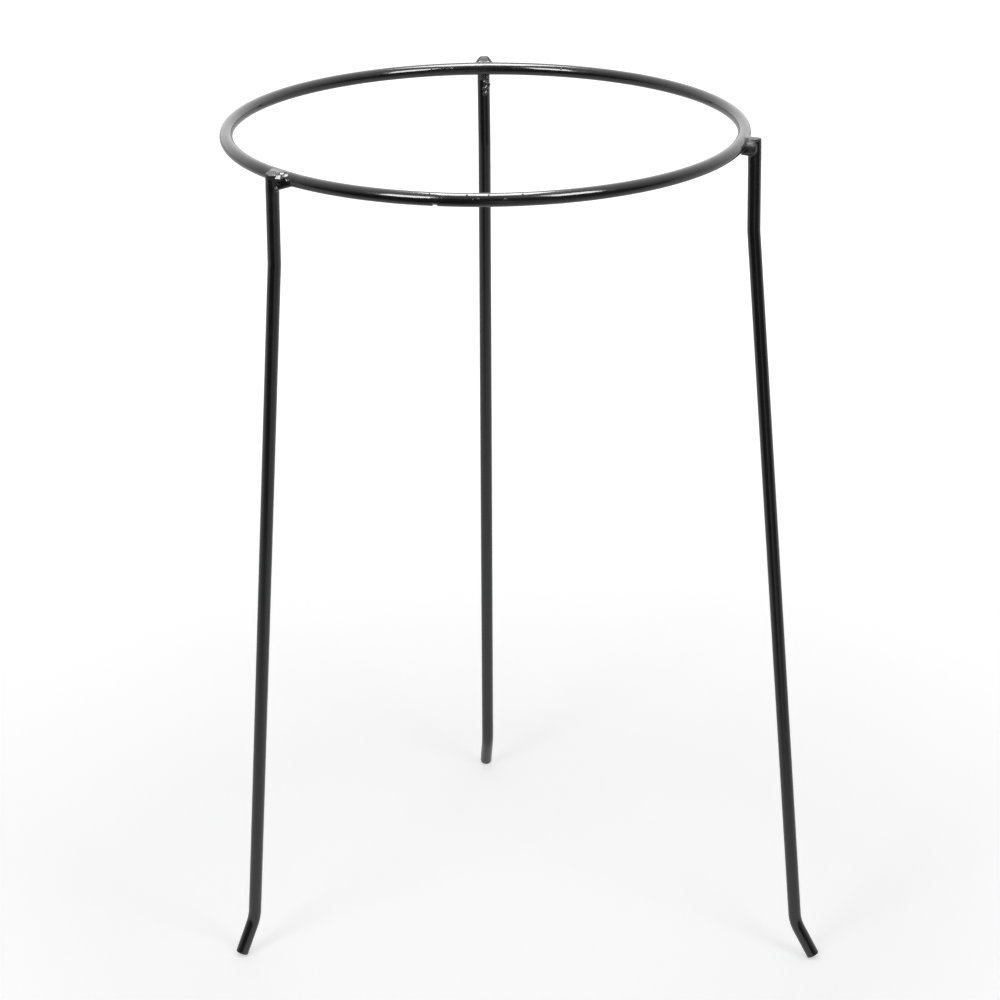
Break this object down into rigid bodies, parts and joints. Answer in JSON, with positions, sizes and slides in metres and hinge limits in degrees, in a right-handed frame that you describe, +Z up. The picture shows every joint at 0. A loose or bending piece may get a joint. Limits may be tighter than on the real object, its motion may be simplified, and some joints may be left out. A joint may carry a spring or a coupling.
{
  "type": "plant stand",
  "caption": "Black wire plant stand: a round ring of steel rod on three bent rod legs with flared feet, welded and coated.",
  "frame": {"origin": "on the floor, under the axis of the ring", "axes": "+Z up along the ring's axis, +Y from the ring's axis towards the rear leg, +X to the right as seen from the front"},
  "size_m": [0.2936, 0.2989, 0.4187],
  "materials": {
    "black_coating": "glossy black powder coat on steel rod",
    "coated_weld": "glossy black powder coat pooled over weld beads"
  },
  "bodies": {
    "root": {"ring": "black_coating", "ring_seam_weld": "coated_weld", "rear_leg": "black_coating", "front_left_leg": "black_coating", "front_right_leg": "black_coating", "rear_weld_top": "coated_weld", "rear_weld_under": "coated_weld", "front_left_weld_front": "coated_weld", "front_left_weld_back": "coated_weld", "front_right_weld_front": "coated_weld", "front_right_weld_back": "coated_weld"}
  },
  "joints": []
}
